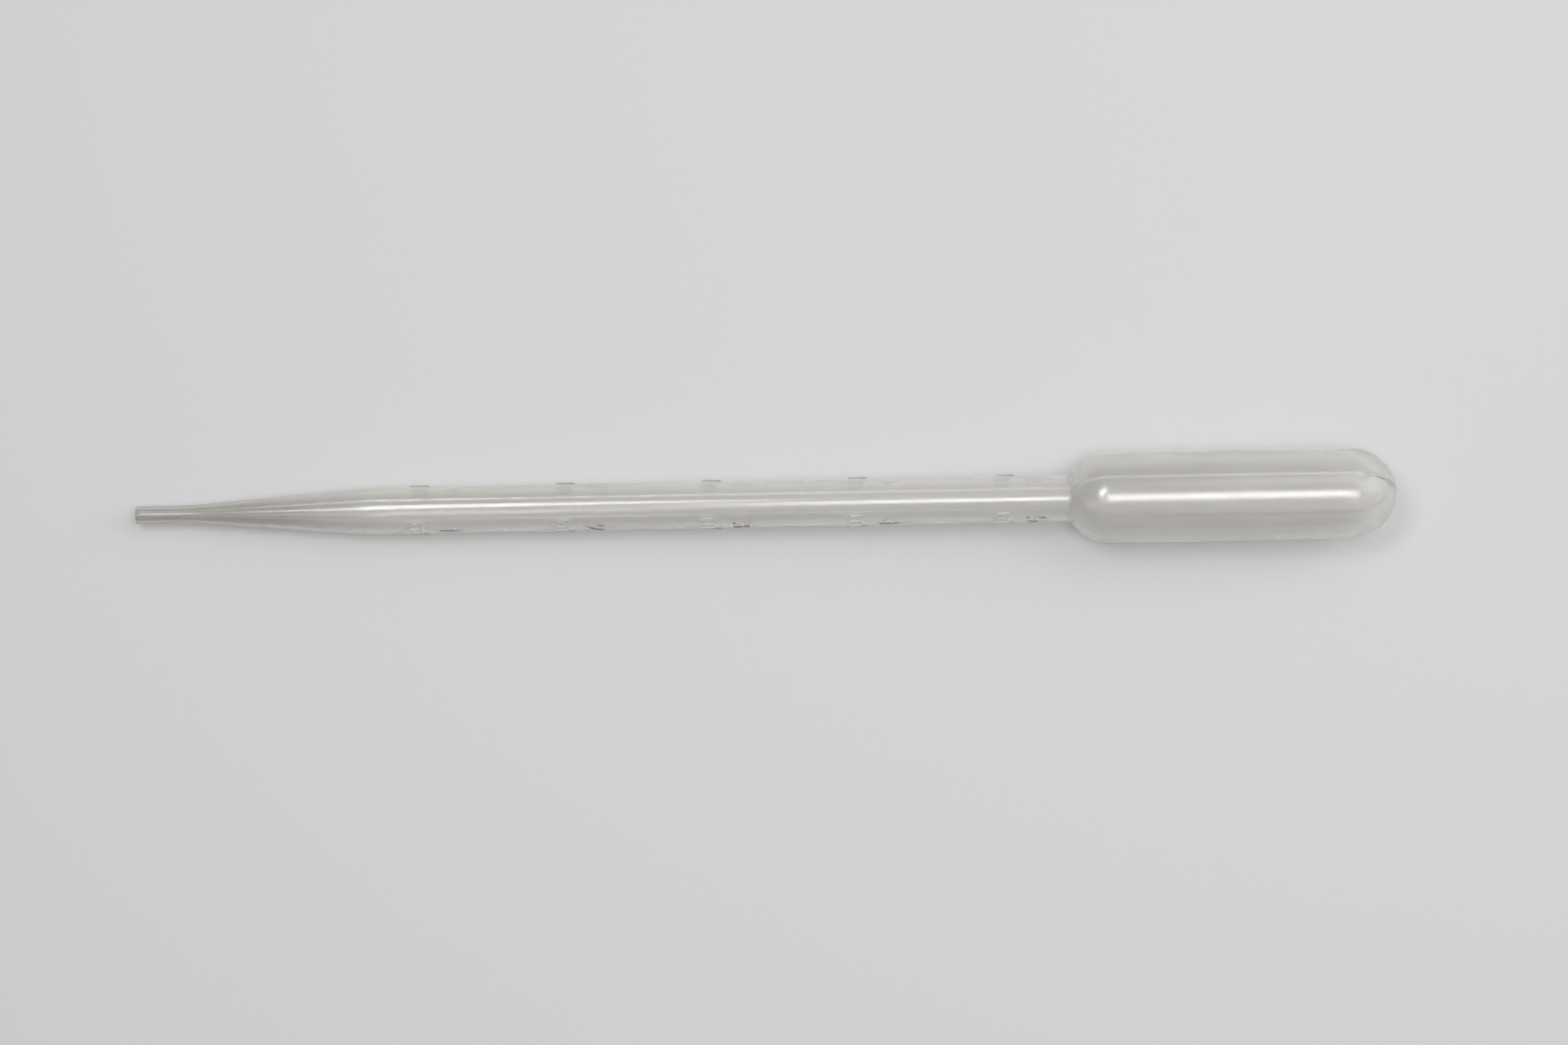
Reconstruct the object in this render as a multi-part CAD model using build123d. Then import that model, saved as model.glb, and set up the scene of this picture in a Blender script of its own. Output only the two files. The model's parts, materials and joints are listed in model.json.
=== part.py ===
from build123d import *
from math import asin, atan2, cos, degrees, hypot, pi, sin, sqrt
import os

# Graduated dropper pipette, blow-moulded in one piece from thin natural LDPE: one hollow
# shell with an open spout, a taper, a graduated stem and a closed squeeze bulb.
# It is first drawn along X, with the spout's mouth at x = 0 and the mould's parting plane
# at y = 0. It is then rolled about its axis and laid down as it comes to rest, on the
# taper's end and the bulb's shoulder, with +X towards the bulb and +Z up.
# Only the small unit beside each numeral isn't modelled.

# Spout: the straight outlet
spout_radius = 1.55
spout_bore_radius = 1.0
spout_length = 9.2
rim_rounding = 0.25

# Taper between the spout and the stem
taper_length = 30.6
spout_blend_radius = 60.0
stem_blend_radius = 12.0

# Graduated stem
stem_radius = 4.0
stem_wall = 0.43
stem_length = 120.1
shoulder_bevel = 0.5

# Squeeze bulb: a round shoulder, a very slightly barrelled body and a domed end
shoulder_radius = 7.75
belly_radius = 7.8
belly_reach = 16.0
dome_radius = 7.68
bulb_body_length = 41.0
bulb_wall = 0.5
dome_end_wall = 0.95

# Parting line of the two mould halves: a fine raised line on both sides
seam_width = 0.3
seam_height = 0.1

# Pinch-off weld over the dome, where the mould closed the tube
weld_width = 0.7
weld_height = 0.22
weld_reach = 6.3

# Graduations on both mould halves: a raised tick each half millilitre
first_mark = 38.9
half_ml_step = 12.5
half_ml_marks = 10
tick_width = 0.35
tick_half_angle = 27.0
relief_height = 0.2
relief_root = 0.15

# Numerals of the whole millilitres, raised like the ticks and read with the spout down
stroke_width = 0.36
digit_height = 3.3
digit_width = 1.9
digit_gap = 0.9

# How it lies: the parting plane's turn about the axis from upright, and the small flats
# that the soft shell has where it rests
roll_angle = 27.0
rest_flat_depth = 0.1

# Stations along the axis
taper_end = spout_length + taper_length
stem_end = taper_end + stem_length
shoulder_centre = stem_end + sqrt(shoulder_radius**2 - stem_radius**2)
dome_centre = shoulder_centre + bulb_body_length


def vertex_at(section, x, r):
    """The section's corner nearest to this station and radius."""
    return section.vertices().sort_by_distance(Vector(x, r, 0))[0]


def half_section(mouth, spout, stem, shoulder, belly, dome, dome_x):
    """Half section of one skin: where its mouth is, its radii and its dome's centre."""
    meet_x = shoulder_centre - sqrt(shoulder**2 - stem**2)
    bow_angle = (asin(stem / shoulder) + pi / 2) / 2
    belly_x = shoulder_centre + belly_reach
    dome_end = dome_x + dome
    return make_face(
        [
            Polyline((dome_end, 0), (mouth, 0), (mouth, spout), (spout_length, spout)),
            Polyline((spout_length, spout), (taper_end, stem), (meet_x, stem)),
            ThreePointArc(
                (meet_x, stem),
                (shoulder_centre - shoulder * cos(bow_angle), shoulder * sin(bow_angle)),
                (shoulder_centre, shoulder),
            ),
            Polyline((shoulder_centre, shoulder), (belly_x, belly), (dome_x, dome)),
            ThreePointArc(
                (dome_x, dome),
                (dome_x + dome * cos(pi / 4), dome * sin(pi / 4)),
                (dome_end, 0),
            ),
        ]
    )


def turned(section):
    """The solid made by turning a half section about the axis."""
    return revolve(section, axis=Axis.X, revolution_arc=360)


def outer_section(grown=0.0):
    """Half section of the outer skin, grown by this height, with its soft corners."""
    spout = spout_radius + grown
    stem = stem_radius + grown
    shoulder = shoulder_radius + grown
    section = half_section(
        0, spout, stem, shoulder, belly_radius + grown, dome_radius + grown, dome_centre
    )
    meet_x = shoulder_centre - sqrt(shoulder**2 - stem**2)
    section = fillet(vertex_at(section, spout_length, spout), spout_blend_radius)
    section = fillet(vertex_at(section, taper_end, stem), stem_blend_radius)
    return chamfer(vertex_at(section, meet_x, stem), shoulder_bevel)


def outer_skin():
    """The outer form, with its mouth's rim rounded."""
    section = outer_section()
    rim = vertex_at(section, 0, spout_radius)
    return turned(chamfer(rim, rim_rounding))


def inner_skin():
    """The hollow, run out through the mouth. The end wall is thicker, where it was closed."""
    dome_inner_radius = dome_radius - bulb_wall
    return turned(
        half_section(
            -spout_radius,
            spout_bore_radius,
            stem_radius - stem_wall,
            shoulder_radius - bulb_wall,
            belly_radius - bulb_wall,
            dome_inner_radius,
            dome_centre + dome_radius - dome_end_wall - dome_inner_radius,
        )
    )


def ridge(start, end, width, height):
    """A ridge of both sides of the parting plane, between two stations."""
    slab = Pos((start + end) / 2, 0, 0) * Box(end - start, width, 4 * belly_radius)
    return turned(outer_section(height)) & slab


def outer_radius(x):
    """The outer radius at a station on the taper or the stem."""
    slope = (stem_radius - spout_radius) / taper_length
    return min(stem_radius, spout_radius + slope * (x - spout_length))


def relief_ring(x, length):
    """The layer that holds the relief, over this length from a station on."""
    root = outer_radius(x) - relief_root
    top = outer_radius(x) + relief_height
    bar = Pos(x + length / 2, (root + top) / 2) * Rectangle(length, top - root)
    return turned(bar)


def tick(x):
    """The tick at a station, on the mould half that faces -Y."""
    root = outer_radius(x) - relief_root
    top = outer_radius(x) + relief_height
    bar = Pos(x, -(root + top) / 2) * Rectangle(tick_width, top - root)
    arc = revolve(bar, axis=Axis.X, revolution_arc=2 * tick_half_angle)
    return Rot(X=-tick_half_angle) * arc


def strokes(*lines):
    """A character from its centre lines, each drawn as a bar of the stroke's width."""
    character = Sketch()
    for line in lines:
        character += trace(line, stroke_width)
    return character


def digit(value):
    """The numeral 1 to 5, with the foot of its left edge at the origin."""
    w = digit_width - stroke_width
    h = digit_height - stroke_width
    if value == 1:
        shape = strokes(Line((0.55 * w, 0), (0.55 * w, h)), Line((0.55 * w, h), (0.1 * w, 0.75 * h)))
    elif value == 2:
        shape = strokes(
            ThreePointArc((0, 0.72 * h), (0.5 * w, h), (w, 0.74 * h)),
            ThreePointArc((w, 0.74 * h), (0.72 * w, 0.42 * h), (0, 0)),
            Line((0, 0), (w, 0)),
        )
    elif value == 3:
        shape = strokes(
            ThreePointArc((0.05 * w, 0.85 * h), (0.86 * w, 0.8 * h), (0.4 * w, 0.53 * h)),
            ThreePointArc((0.4 * w, 0.53 * h), (w, 0.27 * h), (0, 0.12 * h)),
        )
    elif value == 4:
        shape = strokes(
            Line((0.72 * w, 0), (0.72 * w, h)),
            Line((0.72 * w, h), (0, 0.32 * h)),
            Line((0, 0.32 * h), (w, 0.32 * h)),
        )
    else:
        shape = strokes(
            Line((0.9 * w, h), (0.15 * w, h)),
            Line((0.15 * w, h), (0.05 * w, 0.55 * h)),
            ThreePointArc((0.05 * w, 0.55 * h), (w, 0.33 * h), (0, 0.08 * h)),
        )
    return Pos(stroke_width / 2, stroke_width / 2) * shape


def numeral(value, x):
    """A digit raised on the mould half that faces -Y, its foot at a station."""
    face = Plane(origin=(x, 0, 0), x_dir=(0, 0, -1), z_dir=(0, -1, 0))
    placed = face * (Pos(-digit_width / 2, 0) * digit(value))
    return extrude(placed, amount=stem_radius + 2 * relief_height) & relief_ring(x, digit_height)


def graduations():
    """All raised marks of the mould half that faces -Y."""
    marks = []
    for n in range(1, half_ml_marks + 1):
        x = first_mark + (n - 1) * half_ml_step
        marks.append(tick(x))
        if n % 2 == 0:
            marks.append(numeral(n // 2, x + digit_gap))
    return marks


def pipette():
    """The whole shell, drawn along X."""
    marks = graduations()
    marks += [Rot(X=180) * mark for mark in marks]
    beyond = dome_centre + 2 * dome_radius
    seam = ridge(spout_length, beyond, seam_width, seam_height)
    weld = ridge(dome_centre + dome_radius - weld_reach, beyond, weld_width, weld_height)
    return outer_skin() + seam + weld + marks - inner_skin()


def laid_down(shape):
    """The shape rolled and lowered to its rest, over the origin, with its flats cut."""
    reach = shoulder_centre - taper_end
    between = hypot(reach, stem_radius)
    tilt = asin(shoulder_radius / between) - atan2(stem_radius, reach)
    lying = Rot(Y=-degrees(tilt)) * (Rot(X=-roll_angle) * shape)
    box = lying.bounding_box()
    middle = box.center()
    lying = Pos(-middle.X, -middle.Y, -box.min.Z - rest_flat_depth) * lying
    return lying - Pos(0, 0, -belly_radius / 2) * Box(2 * box.size.X, 2 * box.size.Y, belly_radius)


os.makedirs("parts", exist_ok=True)
export_step(laid_down(pipette()), "parts/pipette.step")
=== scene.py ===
import json
import math

import bpy
import numpy as np
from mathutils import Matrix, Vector


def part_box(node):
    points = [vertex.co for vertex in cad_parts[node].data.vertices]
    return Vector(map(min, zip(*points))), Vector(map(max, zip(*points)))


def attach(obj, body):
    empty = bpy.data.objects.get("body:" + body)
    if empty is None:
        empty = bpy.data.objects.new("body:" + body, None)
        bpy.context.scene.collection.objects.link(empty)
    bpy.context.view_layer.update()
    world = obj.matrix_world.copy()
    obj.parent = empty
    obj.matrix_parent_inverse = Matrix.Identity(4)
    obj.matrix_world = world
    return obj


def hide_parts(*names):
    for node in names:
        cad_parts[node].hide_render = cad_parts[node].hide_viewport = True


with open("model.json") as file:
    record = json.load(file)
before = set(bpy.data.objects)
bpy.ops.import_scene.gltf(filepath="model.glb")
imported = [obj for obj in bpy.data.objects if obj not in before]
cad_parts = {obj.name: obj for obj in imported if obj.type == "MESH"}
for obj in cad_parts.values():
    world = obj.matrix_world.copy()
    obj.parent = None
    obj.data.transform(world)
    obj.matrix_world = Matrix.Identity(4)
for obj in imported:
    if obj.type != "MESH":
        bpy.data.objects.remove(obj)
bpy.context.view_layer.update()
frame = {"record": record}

# A graduated dropper pipette, blown in one piece from natural LDPE, lying on a pale board.
# The shell is one closed mesh of two skins. Each skin is a profile turned about the axis and
# raised by the marks, the parting line and the weld. It is drawn in mm, with stations along
# the axis from the mouth and angles about the axis from upright, and then laid down where
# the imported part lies.

MM = 0.001
FLOOR_CLEARANCE = 0.01 * MM

# The pipette's sizes in mm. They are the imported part's, with its corners a little softer.
SPOUT_RADIUS = 1.55
SPOUT_LENGTH = 9.2
SPOUT_BLEND_HALF = 2.4
BORE_RADIUS = 1.0
RIM_ROUNDING = 0.25
MOUTH_ROUNDING = 0.12
TAPER_END = 39.8
STEM_BLEND_HALF = 1.1
STEM_RADIUS = 4.0
STEM_WALL = 0.43
STEM_END = 159.9
LAST_STEM_ROW = STEM_END - 1.4
NECK_FILLET = 0.9
INNER_NECK_FILLET = 0.8
SHOULDER_RADIUS = 7.75
SHOULDER_CENTRE = STEM_END + math.sqrt(SHOULDER_RADIUS**2 - STEM_RADIUS**2)
BELLY_RADIUS = 7.8
BELLY_STATION = SHOULDER_CENTRE + 16.0
DOME_RADIUS = 7.68
DOME_CENTRE = SHOULDER_CENTRE + 41.0
DOME_END = DOME_CENTRE + DOME_RADIUS
BULB_WALL = 0.5
DOME_END_WALL = 0.95

# The two mould halves part in a plane turned this far from upright, and each half's marks
# are in the middle of its face. The last value is the sine over which the halves blend.
PARTING_ANGLE = 27.0
SEAM_ANGLES = (PARTING_ANGLE, PARTING_ANGLE - 180)
FACE_ANGLES = (PARTING_ANGLE - 90, PARTING_ANGLE + 90)
HALVES_BLEND = 0.06

# Columns of the mesh: how far the close ones reach to both sides of the marks' and the
# seams' middles, in degrees, and how many are in each such band and each plain stretch
MARKS_REACH = 31.0
MARKS_COLUMNS = 37
SEAM_REACH = 4.5
SEAM_COLUMNS = 11
PLAIN_COLUMNS = 12

# Raised marks. A tick has a share of the numerals' relief, and fades out at its ends.
FIRST_MARK = 38.9
HALF_ML_STEP = 12.5
HALF_ML_MARKS = 10
TICK_WIDTH = 0.35
TICK_HALF_ANGLE = 27.0
TICK_SHARE = 0.5
TICK_FADE = 0.3
STROKE = 0.36
DIGIT_WIDTH = 1.9
DIGIT_HEIGHT = 3.3
DIGIT_GAP = 0.9
UNIT_WIDTH = 3.9
UNIT_X_HEIGHT = 2.5
UNIT_LEG_STEP = 1.2
UNIT_GAP = 1.0
MARK_MARGIN = 0.25
RELIEF = 0.2
RELIEF_EDGE = 0.15
RELIEF_REACH = 1.0

# Shallow dimples inside the wall, behind the marks
DIMPLE = 0.11
DIMPLE_EDGE = 0.3

# Parting line: its ridge grows between two stations of the taper, is uneven in height and,
# from the taper's end on, strays from the plane. Inside the wall it is a bead. The flash is
# the band that the material sees: pale, and painted shade on the weld and the bulb's far seam.
SEAM_HEIGHT = 0.045
SEAM_SPREAD = 0.11
SPOUT_SEAM_HEIGHT = 0.03
SEAM_GROWTH = (8, 30)
FLASH_SEED = 4
FLASH_STEP = 0.9
FLASH_UNEVEN = 0.6
FLASH_STRAY = 0.06
STRAY_RAMP = 10
FLASH_WIDTH = 0.22
INNER_BEAD = 1.2

# Pinch-off weld over the dome, and the knot where it begins
WELD_HEIGHT = 0.08
WELD_SPREAD = 0.16
WELD_START = DOME_END - 6.6
WELD_RAMP = 0.8
KNOT_HEIGHT = 0.12
KNOT_RADIUS = 0.5

# The plastic is densest at the tip, and less so from one of these stations to the other
TIP_DENSITY = (10, 46)


# ---------------------------------------------------------------- falloffs

def smooth(t):
    """0 up to 0, 1 from 1 on and smooth between."""
    t = np.clip(t, 0, 1)
    return t * t * (3 - 2 * t)


def ramp(x, start, end):
    """0 before the start, 1 after the end and smooth between."""
    return smooth((x - start) / (end - start))


def edge(distance, half_width, softness):
    """1 inside a mark, 0 outside and smooth between, from the distance to its line."""
    return smooth((half_width + softness - distance) / (2 * softness))


def bell(distance, spread):
    """1 on a line, falling off to both sides."""
    return np.exp(-((distance / spread) ** 2))


# ---------------------------------------------------------------- strokes of the marks

def arc_points(start, through, end, count=14):
    """Points along the circle's arc through three points."""
    (ax, ay), (bx, by), (cx, cy) = start, through, end
    d = 2 * (ax * (by - cy) + bx * (cy - ay) + cx * (ay - by))
    a2, b2, c2 = ax * ax + ay * ay, bx * bx + by * by, cx * cx + cy * cy
    ox = (a2 * (by - cy) + b2 * (cy - ay) + c2 * (ay - by)) / d
    oy = (a2 * (cx - bx) + b2 * (ax - cx) + c2 * (bx - ax)) / d
    radius = math.hypot(ax - ox, ay - oy)
    angles = [math.atan2(y - oy, x - ox) for x, y in (start, through, end)]
    turn = (angles[2] - angles[0]) % (2 * math.pi)
    if (angles[1] - angles[0]) % (2 * math.pi) > turn:
        turn -= 2 * math.pi
    steps = [angles[0] + turn * i / count for i in range(count + 1)]
    return [(ox + radius * math.cos(t), oy + radius * math.sin(t)) for t in steps]


def digit_lines(value):
    """Centre lines of a numeral 1 to 5, with its lower left corner at the origin."""
    w = DIGIT_WIDTH - STROKE
    h = DIGIT_HEIGHT - STROKE
    if value == 1:
        lines = [[(0.55 * w, 0), (0.55 * w, h), (0.1 * w, 0.75 * h)]]
    elif value == 2:
        lines = [
            arc_points((0, 0.72 * h), (0.5 * w, h), (w, 0.74 * h)),
            arc_points((w, 0.74 * h), (0.72 * w, 0.42 * h), (0, 0)),
            [(0, 0), (w, 0)],
        ]
    elif value == 3:
        lines = [
            arc_points((0.05 * w, 0.85 * h), (0.86 * w, 0.8 * h), (0.4 * w, 0.53 * h)),
            arc_points((0.4 * w, 0.53 * h), (w, 0.27 * h), (0, 0.12 * h)),
        ]
    elif value == 4:
        lines = [[(0.72 * w, 0), (0.72 * w, h), (0, 0.32 * h), (w, 0.32 * h)]]
    else:
        lines = [
            [(0.9 * w, h), (0.15 * w, h), (0.05 * w, 0.55 * h)],
            arc_points((0.05 * w, 0.55 * h), (w, 0.33 * h), (0, 0.08 * h)),
        ]
    return [[(u + STROKE / 2, v + STROKE / 2) for u, v in line] for line in lines]


def unit_lines():
    """Centre lines of the letters ml, with their lower left corner at the origin."""
    top = UNIT_X_HEIGHT - STROKE
    bend = UNIT_LEG_STEP / 2
    lines = [[(0, 0), (0, top)]]
    for n in range(2):
        u = n * UNIT_LEG_STEP
        lines.append(arc_points((u, top - bend), (u + bend, top), (u + 2 * bend, top - bend)))
        lines.append([(u + 2 * bend, top - bend), (u + 2 * bend, 0)])
    l_at = UNIT_WIDTH - STROKE
    lines.append([(l_at, 0), (l_at, DIGIT_HEIGHT - STROKE)])
    return [[(u + STROKE / 2, v + STROKE / 2) for u, v in line] for line in lines]


def tick_stations():
    """Where the ticks are. Every second one has a numeral and a unit."""
    return [FIRST_MARK + n * HALF_ML_STEP for n in range(HALF_ML_MARKS)]


def lettering():
    """Lines of one mould half's numerals and units, as (across, station) points."""
    found = []
    for value, station in enumerate(tick_stations()[1::2], 1):
        characters = (
            (digit_lines(value), DIGIT_WIDTH, station + DIGIT_GAP),
            (unit_lines(), UNIT_WIDTH, station - UNIT_GAP - DIGIT_HEIGHT),
        )
        for lines, width, foot in characters:
            found += [[(u - width / 2, foot + v) for u, v in line] for line in lines]
    return found


# ---------------------------------------------------------------- profile

def smooth_bend(x, at, change, half):
    """What a bend adds to a straight line: its change of slope, over this half length."""
    t = np.clip(x - at + half, 0, None)
    bend = change * t**2 / (4 * half)
    return np.where(t < 2 * half, bend, change * (x - at))


def tube_radius(x, spout, stem):
    """Radius along the spout, the taper and the stem, from the spout's and the stem's."""
    slope = (stem - spout) / (TAPER_END - SPOUT_LENGTH)
    rise = smooth_bend(x, SPOUT_LENGTH, slope, SPOUT_BLEND_HALF)
    return spout + rise + smooth_bend(x, TAPER_END, -slope, STEM_BLEND_HALF)


def tube_stations(start, spout_rows, step, gap):
    """Stations along the tube, a step apart over the marks and about a gap between."""
    straight_end = SPOUT_LENGTH + SPOUT_BLEND_HALF
    stations = list(np.linspace(start, straight_end, spout_rows)[1:-1])
    x = straight_end
    for n, station in enumerate(tick_stations(), 1):
        before = after = TICK_WIDTH
        if n % 2 == 0:
            before = UNIT_GAP + DIGIT_HEIGHT + MARK_MARGIN
            after = DIGIT_GAP + DIGIT_HEIGHT + MARK_MARGIN
        first, last = station - before, station + after
        stations += list(np.linspace(x, first, round((first - x) / gap) + 1)[:-1])
        stations += list(np.linspace(first, last, round((last - first) / step) + 1)[:-1])
        x = last
    return stations + list(np.linspace(x, LAST_STEM_ROW, num=6))


def round_corner(centre, radius, start, end, count):
    """Profile points along an arc, its angles measured from the mouth's direction."""
    angles = np.radians(np.linspace(start, end, count))
    return [(centre[0] - radius * math.cos(a), centre[1] + radius * math.sin(a)) for a in angles]


def barrel(first, belly, last, rows):
    """The bulb's slightly swelling side between the shoulder and the dome."""
    x = np.linspace(first[0], last[0], rows)[1:-1]
    through = np.polyfit([first[0], belly[0], last[0]], [first[1], belly[1], last[1]], 2)
    return list(zip(x, np.polyval(through, x)))


def neck(stem, shoulder, fillet, count=7):
    """Profile of the neck's fillet, and the angle at which it meets the shoulder."""
    centre_x = SHOULDER_CENTRE - math.sqrt((shoulder + fillet) ** 2 - (stem + fillet) ** 2)
    meet = math.atan2(stem + fillet, SHOULDER_CENTRE - centre_x)
    turns = np.linspace(0, math.pi / 2 - meet, count)
    points = [
        (centre_x + fillet * math.sin(t), stem + fillet - fillet * math.cos(t)) for t in turns
    ]
    return points, math.degrees(meet)


def skin_profile(stations, spout, stem, wall, fillet, dome_x, dome, rows):
    """Profile of one skin from its first station to its apex, less the apex point."""
    shoulder = SHOULDER_RADIUS - wall
    points = list(zip(stations, tube_radius(np.array(stations), spout, stem)))
    bend, meet = neck(stem, shoulder, fillet)
    points += bend[:-1]
    points += round_corner((SHOULDER_CENTRE, 0), shoulder, meet, 90, rows)
    belly = (BELLY_STATION, BELLY_RADIUS - wall)
    points += barrel((SHOULDER_CENTRE, shoulder), belly, (dome_x, dome), rows)
    return points + round_corner((dome_x, 0), dome, 90, 180, 2 * rows)[:-1]


# ---------------------------------------------------------------- relief and seams

def segment_distance(u, v, start, end):
    """Distance of each point to a straight segment."""
    du, dv = end[0] - start[0], end[1] - start[1]
    along = ((u - start[0]) * du + (v - start[1]) * dv) / (du * du + dv * dv)
    along = np.clip(along, 0, 1)
    return np.hypot(u - start[0] - along * du, v - start[1] - along * dv)


def relief(x, radius, angles, softness):
    """Height of the marks, 0 to 1, over a grid of stations and angles."""
    height = np.zeros((len(x), len(angles)))
    for face in FACE_ANGLES:
        turn = np.radians(np.mod(angles - face + 180, 360) - 180)[None, :]
        across = -turn * STEM_RADIUS
        for station in tick_stations():
            near = np.abs(x - station) < RELIEF_REACH
            tick = edge(np.abs(x[near] - station), TICK_WIDTH / 2, softness)[:, None]
            half_length = math.radians(TICK_HALF_ANGLE) * radius[near][:, None]
            from_middle = np.abs(turn) * radius[near][:, None]
            ends = edge(from_middle, half_length - TICK_FADE, softness + TICK_FADE)
            height[near] = np.maximum(height[near], TICK_SHARE * tick * ends)
        for line in lettering():
            stations = [station for _, station in line]
            low, high = min(stations) - RELIEF_REACH, max(stations) + RELIEF_REACH
            near = (x > low) & (x < high)
            at = x[near][:, None]
            away = [segment_distance(across, at, *ends) for ends in zip(line[:-1], line[1:])]
            stroke = edge(np.min(away, axis=0), STROKE / 2, softness)
            height[near] = np.maximum(height[near], stroke)
    return height


def on_far_seam(angles):
    """1 about the seam that faces the table, 0 about the one that faces up."""
    return (np.cos(np.radians(angles - PARTING_ANGLE)) < 0).astype(int)


def on_weld(x):
    """1 along the weld, 0 before it and smooth between."""
    return ramp(x, WELD_START, WELD_START + WELD_RAMP)


def seams(x, radius, angles):
    """Height of the parting line's ridges, of the weld over the dome and of its knot."""
    off_plane = radius[:, None] * np.sin(np.radians(angles - PARTING_ANGLE))[None, :]
    side = on_far_seam(angles)
    steps = np.arange(0, DOME_END, FLASH_STEP)
    ragged = np.random.default_rng(FLASH_SEED).uniform(-1, 1, (2, 2, len(steps)))
    grow, stray = (np.array([np.interp(x, steps, row) for row in rows]) for rows in ragged)
    height = SPOUT_SEAM_HEIGHT + (SEAM_HEIGHT - SPOUT_SEAM_HEIGHT) * ramp(x, *SEAM_GROWTH)
    height = height[:, None] * (1 + FLASH_UNEVEN * grow[side].T)
    drift = FLASH_STRAY * ramp(x, TAPER_END - STRAY_RAMP, TAPER_END)[:, None] * stray[side].T
    ridge = height * bell(off_plane - drift, SEAM_SPREAD)
    weld = WELD_HEIGHT * on_weld(x)[:, None] * bell(off_plane, WELD_SPREAD)
    from_knot = np.hypot((x - WELD_START)[:, None], off_plane)
    knot = np.where(side == 0, KNOT_HEIGHT * bell(from_knot, KNOT_RADIUS), 0)
    return np.maximum(np.maximum(ridge, weld), knot)


# ---------------------------------------------------------------- mesh

def columns():
    """Angles around the axis in degrees, closer over the marks and along the seams."""
    angles = []
    for face in FACE_ANGLES:
        angles += list(np.linspace(face - MARKS_REACH, face + MARKS_REACH, MARKS_COLUMNS))
    for seam in SEAM_ANGLES:
        angles += list(np.linspace(seam - SEAM_REACH, seam + SEAM_REACH, SEAM_COLUMNS))
        for side in (-1, 1):
            start, end = seam + side * SEAM_REACH, seam + side * (90 - MARKS_REACH)
            angles += list(np.linspace(start, end, PLAIN_COLUMNS)[1:-1])
    return np.sort(np.mod(angles, 360))


def grid(profile, angles, height):
    """A skin: its profile turned about the axis and raised along its normals."""
    profile = np.array(profile)
    slope = np.gradient(profile, axis=0)
    slope /= np.linalg.norm(slope, axis=1)[:, None]
    x = profile[:, 0][:, None] - slope[:, 1][:, None] * height
    r = profile[:, 1][:, None] + slope[:, 0][:, None] * height
    turn = np.radians(angles)[None, :]
    return np.stack([x, r * np.sin(turn), r * np.cos(turn)], axis=-1)


def outer_skin(angles):
    """Points of the outer skin, from the spout's rim on, and its apex."""
    rim = (RIM_ROUNDING, SPOUT_RADIUS - RIM_ROUNDING)
    profile = round_corner(rim, RIM_ROUNDING, 0, 90, count=6) + skin_profile(
        tube_stations(RIM_ROUNDING, spout_rows=12, step=0.16, gap=1.0),
        SPOUT_RADIUS,
        STEM_RADIUS,
        wall=0,
        fillet=NECK_FILLET,
        dome_x=DOME_CENTRE,
        dome=DOME_RADIUS,
        rows=16,
    )
    x, r = np.array(profile).T
    height = RELIEF * relief(x, r, angles, RELIEF_EDGE) + seams(x, r, angles)
    return grid(profile, angles, height), (DOME_END + WELD_HEIGHT, 0.0, 0.0)


def inner_skin(angles):
    """Points of the inner skin, from the bore's mouth on, and its apex."""
    mouth = (MOUTH_ROUNDING, BORE_RADIUS + MOUTH_ROUNDING)
    dome = DOME_RADIUS - BULB_WALL
    dome_x = DOME_END - DOME_END_WALL - dome
    profile = round_corner(mouth, MOUTH_ROUNDING, 0, -90, count=4) + skin_profile(
        tube_stations(MOUTH_ROUNDING, spout_rows=8, step=0.45, gap=4.0),
        BORE_RADIUS,
        STEM_RADIUS - STEM_WALL,
        wall=BULB_WALL,
        fillet=INNER_NECK_FILLET,
        dome_x=dome_x,
        dome=dome,
        rows=12,
    )
    x, r = np.array(profile).T
    height = DIMPLE * relief(x, r, angles, DIMPLE_EDGE) - INNER_BEAD * seams(x, r, angles)
    return grid(profile, angles, height), (dome_x + dome, 0.0, 0.0)


def lay_down(points):
    """Points of the upright drawing frame (station, across, up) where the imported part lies."""
    bore = next(m for m in frame["record"]["mounts"] if m["name"] == "spout_bore")
    out = np.array(bore["axis"])
    mouth = np.array(bore["pos_m"]) + out * bore["dims"]["length_mm"] * MM / 2
    along = -out
    across = np.array((0.0, 1.0, 0.0))
    up = np.cross(along, across)
    placed = mouth + MM * (
        points[:, 0:1] * along + points[:, 1:2] * across + points[:, 2:3] * up
    )
    # Pressed flat where it rests
    placed[:, 2] = np.maximum(placed[:, 2], FLOOR_CLEARANCE)
    return placed


def shell_faces(rings, width):
    """Quads between the rings, and a fan round each apex. The apexes are the last points."""
    near = np.arange(width)
    far = np.roll(near, -1)
    row = np.arange(rings - 1)[:, None] * width
    quads = np.stack([row + near, row + width + near, row + width + far, row + far], -1)
    inner_apex, outer_apex = rings * width, rings * width + 1
    last = (rings - 1) * width
    fans = [(inner_apex, i, j) for i, j in zip(near, far)]
    fans += [(outer_apex, last + j, last + i) for i, j in zip(near, far)]
    return quads.reshape(-1, 4).tolist() + fans


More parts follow.
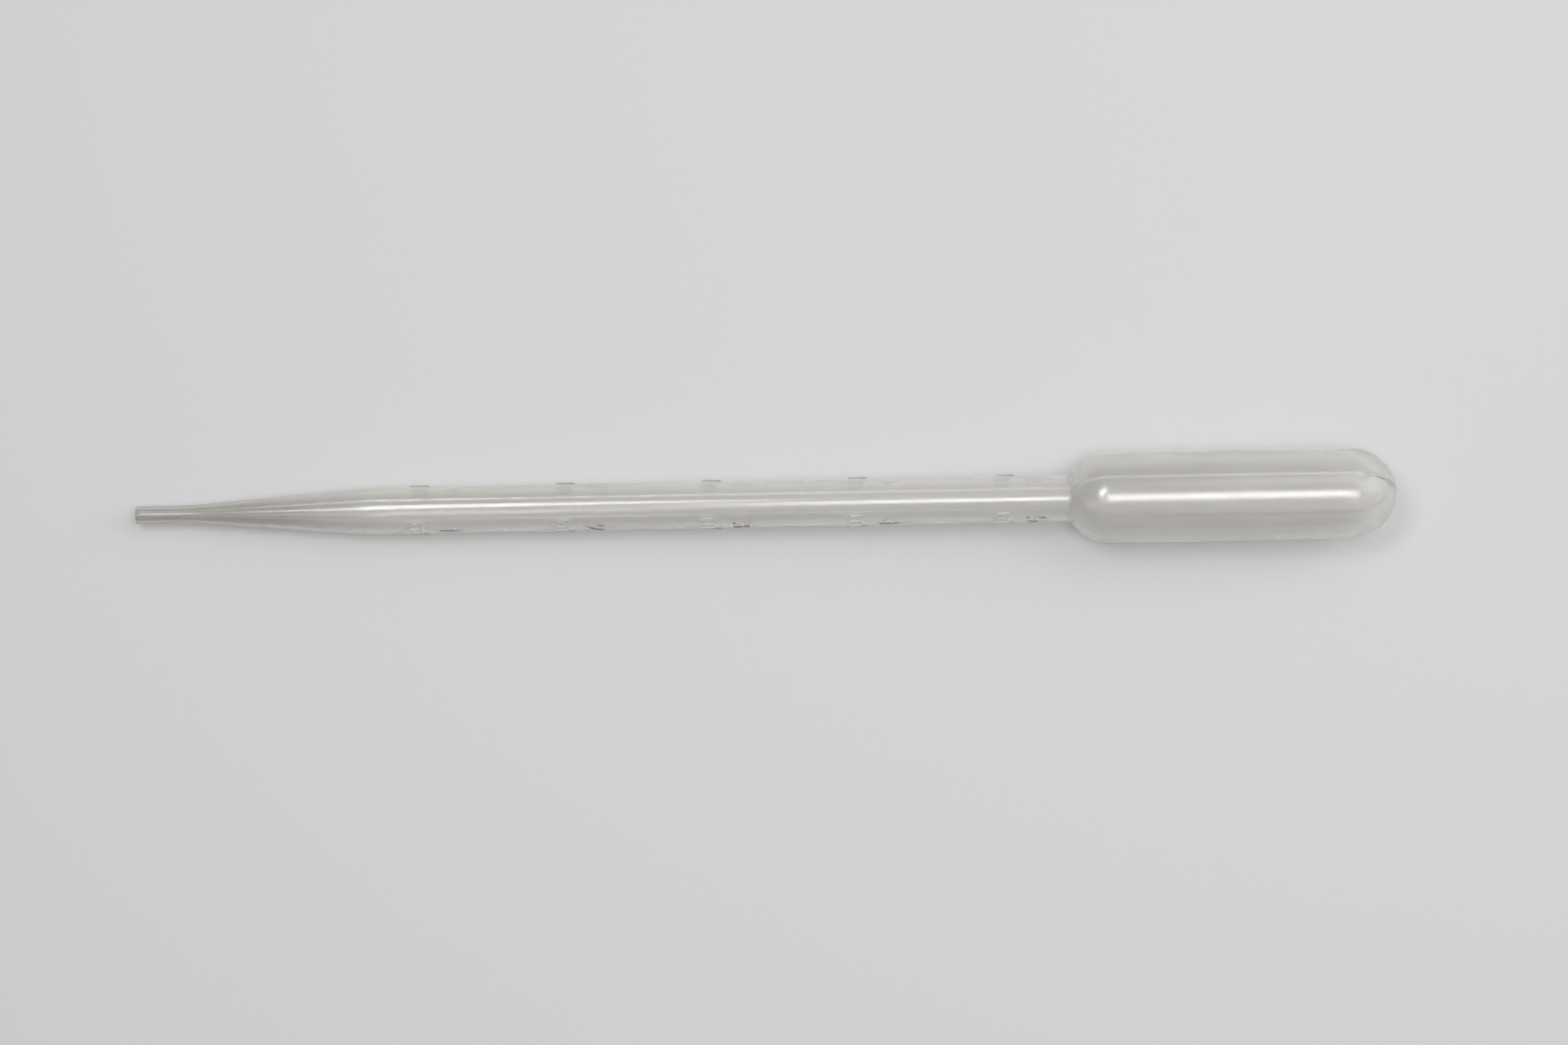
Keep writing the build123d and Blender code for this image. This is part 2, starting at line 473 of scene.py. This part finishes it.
def material_values(points, angles):
    """What the material reads at each point, under the attribute's name."""
    x, across, up = points.T
    rings = len(points) // len(angles)
    plane = math.radians(PARTING_ANGLE)
    off_plane = across * math.cos(plane) - up * math.sin(plane)
    flash = bell(off_plane, FLASH_WIDTH) * ramp(x, 0, TAPER_END)
    far_side = np.append(np.tile(on_far_seam(angles), rings), (0, 0))
    # The flash is pale, but on the weld and on the bulb's far side it is painted shade: a dark
    # line painted where the crease and the far seam are shaded
    on_bulb = ramp(x, STEM_END, SHOULDER_CENTRE)
    painted_shade = np.maximum(far_side * on_bulb, on_weld(x))
    front = np.clip(0.5 + np.sin(np.radians(PARTING_ANGLE - angles)) / HALVES_BLEND, 0, 1)
    return {
        "mould_half": np.append(np.tile(front, rings), (0.5, 0.5)),
        "density_and_painted_shade": 1 - ramp(x, *TIP_DENSITY) + flash * painted_shade,
        "flash": flash * (1 - painted_shade),
    }


def shell_mesh():
    """The closed shell: from the inner apex out through the mouth to the outer apex."""
    angles = columns()
    inner, inner_apex = inner_skin(angles)
    outer, outer_apex = outer_skin(angles)
    rings = np.concatenate([inner[::-1], outer])
    points = np.concatenate([rings.reshape(-1, 3), [inner_apex, outer_apex]])
    mesh = bpy.data.meshes.new("pipette_shell")
    mesh.from_pydata(lay_down(points).tolist(), [], shell_faces(*rings.shape[:2]))
    mesh.polygons.foreach_set("use_smooth", [True] * len(mesh.polygons))
    for name, values in material_values(points, angles).items():
        mesh.attributes.new(name, "FLOAT", "POINT").data.foreach_set("value", values)
    mesh.update()
    return mesh


# ---------------------------------------------------------------- materials

CLEAR_TINT = (1.0, 0.987, 0.958, 1)
# The dense tint also serves as painted shade along the weld and the bulb's far seam
DENSE_AND_SHADE_TINT = (0.79, 0.77, 0.737, 1)
SHEEN_TINT = (1.0, 0.99, 0.97, 1)
BOARD_GREY = (0.74, 0.74, 0.74, 1)
SHADOW_ALPHA = 0.54


def feed(tree, target, inputs):
    """Set a node's inputs, each to its value or to the output that is linked to it."""
    for name, value in inputs.items():
        if isinstance(value, bpy.types.NodeSocket):
            tree.links.new(value, target.inputs[name])
        else:
            target.inputs[name].default_value = value


def node(tree, kind, inputs, **settings):
    """A new node with these inputs and settings."""
    made = tree.nodes.new(kind)
    for name, value in settings.items():
        setattr(made, name, value)
    feed(tree, made, inputs)
    return made


def noise(tree, where, stretch, scale, detail):
    """Noise of scale cells to a metre, and stretch times longer along the pipette."""
    drawn_out = {"Vector": where, "Scale": (scale / stretch, scale, scale)}
    place = node(tree, "ShaderNodeMapping", drawn_out).outputs["Vector"]
    inputs = {"Vector": place, "Scale": 1.0, "Detail": detail}
    return node(tree, "ShaderNodeTexNoise", inputs).outputs["Fac"]


def mapped(tree, value, source, target):
    """A value carried over from the source range to the target range."""
    inputs = {"Value": value, "From Min": source[0], "From Max": source[1]}
    inputs |= {"To Min": target[0], "To Max": target[1]}
    return node(tree, "ShaderNodeMapRange", inputs).outputs["Result"]


def times(tree, one, other):
    """The product of two values."""
    return node(tree, "ShaderNodeMath", {0: one, 1: other}, operation="MULTIPLY").outputs[0]


def attribute(tree, name):
    """A value that the mesh holds at each point."""
    return node(tree, "ShaderNodeAttribute", {}, attribute_name=name).outputs["Fac"]


def bump(tree, height, distance, strength, under=None):
    """A bump of this height, over the one under it."""
    inputs = {"Height": height, "Distance": distance, "Strength": strength}
    if under is not None:
        inputs["Normal"] = under
    return node(tree, "ShaderNodeBump", inputs).outputs["Normal"]


def new_material(name):
    """A new material, its tree, its shader and the place in the object."""
    material = bpy.data.materials.new(name)
    material.use_nodes = True
    tree = material.node_tree
    where = node(tree, "ShaderNodeTexCoord", {}).outputs["Object"]
    return material, tree, tree.nodes["Principled BSDF"], where


def milky_tint(tree):
    """The plastic's colour: nearly white, greyer where it is dense, and darker along the weld
    and the bulb's far seam as painted shade.
    """
    tint = node(tree, "ShaderNodeValToRGB", {"Fac": attribute(tree, "density_and_painted_shade")})
    for stop, colour in zip(tint.color_ramp.elements, (CLEAR_TINT, DENSE_AND_SHADE_TINT)):
        stop.color = colour
    return tint.outputs["Color"]


def clearness(tree, where):
    """How much light goes through: less in the milk, the front half and the flash."""
    milk = noise(tree, where, stretch=3.0, scale=120, detail=2)
    clear = mapped(tree, milk, (0.3, 0.7), (0.93, 0.88))
    front = mapped(tree, attribute(tree, "mould_half"), (0, 1), (1, 0.97))
    flash = mapped(tree, attribute(tree, "flash"), (0, 1), (1, 0.86))
    return times(tree, times(tree, clear, front), flash)


def mould_texture(tree, where):
    """Fine lines drawn out along the mould, faint waves and a grain."""
    lines = noise(tree, where, stretch=30.0, scale=1400, detail=2)
    waves = noise(tree, where, stretch=3.0, scale=700, detail=2)
    grain = noise(tree, where, stretch=2.0, scale=3000, detail=2)
    normal = bump(tree, lines, 0.01 * MM, 0.4)
    normal = bump(tree, waves, 0.04 * MM, 0.05, normal)
    return bump(tree, grain, 0.02 * MM, 0.5, normal)


def polyethylene():
    """Natural LDPE: milky, translucent and softly glossy, with drawn-out mould texture."""
    material, tree, shader, where = new_material("polyethylene_milky")
    haze = noise(tree, where, stretch=6.0, scale=500, detail=3)
    # The thin wall lets most of the lamps' light through to the table under it
    shadow = node(tree, "ShaderNodeLightPath", {}).outputs["Is Shadow Ray"]
    inputs = {
        "Base Color": milky_tint(tree),
        "Roughness": mapped(tree, haze, (0.3, 0.7), (0.08, 0.2)),
        "IOR": 1.51,
        "Alpha": mapped(tree, shadow, (0, 1), (1, SHADOW_ALPHA)),
        "Transmission Weight": clearness(tree, where),
        "Sheen Weight": 0.5,
        "Sheen Roughness": 0.3,
        "Sheen Tint": SHEEN_TINT,
        "Normal": mould_texture(tree, where),
    }
    feed(tree, shader, inputs)
    return material


def board():
    """The pale matt board that it lies on."""
    material, tree, shader, where = new_material("pale_board")
    grain = bump(tree, noise(tree, where, stretch=1.0, scale=1500, detail=2), 0.05 * MM, 0.3)
    feed(tree, shader, {"Base Color": BOARD_GREY, "Roughness": 0.7, "Normal": grain})
    return material


# ---------------------------------------------------------------- studio

# In metres, with the turn in degrees and the sensor in mm
CAMERA_HEIGHT = 0.7
PICTURE_WIDTH = 0.2673
PICTURE_TURN = -1.06
PICTURE_SHIFT = (3.4 * MM, -3.2 * MM)
SENSOR = 36.0
LOOK_HEIGHT = 7.0 * MM
CLIP_START = 10 * MM
FLOOR_SIZE = 4.0
ROOM_COLOUR = (0.98, 0.99, 1.0, 1)
BRIGHT_SIDE = (0.25, 0.45, 0.857)


def link(item):
    """Put an object into the scene."""
    bpy.context.scene.collection.objects.link(item)


def add_camera(middle):
    """The camera looks straight down at the pipette, and is turned a little."""
    turn = math.radians(PICTURE_TURN)
    right = (math.cos(turn), math.sin(turn))
    up = (-math.sin(turn), math.cos(turn))
    data = bpy.data.cameras.new("camera")
    data.sensor_width = SENSOR
    data.lens = SENSOR * CAMERA_HEIGHT / PICTURE_WIDTH
    data.clip_start = CLIP_START
    camera = bpy.data.objects.new("camera", data)
    camera.location = (
        middle[0] + PICTURE_SHIFT[0] * right[0] + PICTURE_SHIFT[1] * up[0],
        middle[1] + PICTURE_SHIFT[0] * right[1] + PICTURE_SHIFT[1] * up[1],
        CAMERA_HEIGHT + LOOK_HEIGHT,
    )
    camera.rotation_euler = (0, 0, turn)
    link(camera)
    bpy.context.scene.camera = camera


def add_softbox(name, at, aim, size, level):
    """A rectangular softbox, with level as the brightness of its face."""
    data = bpy.data.lights.new(name, "AREA")
    data.shape = "RECTANGLE"
    data.size, data.size_y = size
    data.energy = level * math.pi * size[0] * size[1]
    lamp = bpy.data.objects.new(name, data)
    lamp.location = at
    lamp.rotation_euler = (Vector(aim) - Vector(at)).to_track_quat("-Z", "Y").to_euler()
    link(lamp)


def add_world():
    """A dim room, brighter behind the pipette and overhead."""
    world = bpy.data.worlds.new("room")
    world.use_nodes = True
    bpy.context.scene.world = world
    tree = world.node_tree
    where = node(tree, "ShaderNodeTexCoord", {}).outputs["Generated"]
    inputs = {0: where, 1: BRIGHT_SIDE}
    toward = node(tree, "ShaderNodeVectorMath", inputs, operation="DOT_PRODUCT")
    level = mapped(tree, toward.outputs["Value"], (0.3, 1), (0.2, 0.5))
    feed(tree, tree.nodes["Background"], {"Strength": level, "Color": ROOM_COLOUR})


def add_floor(middle):
    """The board, at the height that the pipette lies on."""
    bpy.ops.mesh.primitive_plane_add(size=FLOOR_SIZE, location=(middle[0], middle[1], 0))
    floor = bpy.context.object
    floor.name = "floor"
    floor.data.materials.append(board())


lowest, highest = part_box("pipette")
middle = ((lowest[0] + highest[0]) / 2, (lowest[1] + highest[1]) / 2)

shell = bpy.data.objects.new("pipette_shell", shell_mesh())
link(shell)
shell.data.materials.append(polyethylene())
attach(shell, "root")
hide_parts("pipette")

add_camera(middle)
add_softbox("strip", (0.135, -0.03, 0.76), (0.135, 0, 0), size=(0.4, 0.26), level=2.6)
add_softbox("strip_core", (0.125, -0.03, 0.755), (0.125, 0, 0), size=(0.3, 0.14), level=3.3)
add_softbox("side", (-0.2, 0.2, 0.74), (0, 0, 0), size=(0.3, 0.18), level=7.5)
add_softbox("window", (0.45, 0.34, 0.76), (0.1, 0, 0), size=(0.8, 0.34), level=1.2)
add_softbox("end_window", (0.85, 0.25, 0.5), (0.08, 0, 0), size=(0.6, 0.6), level=1.4)
add_world()
add_floor(middle)
bpy.context.scene.view_settings.view_transform = "Standard"
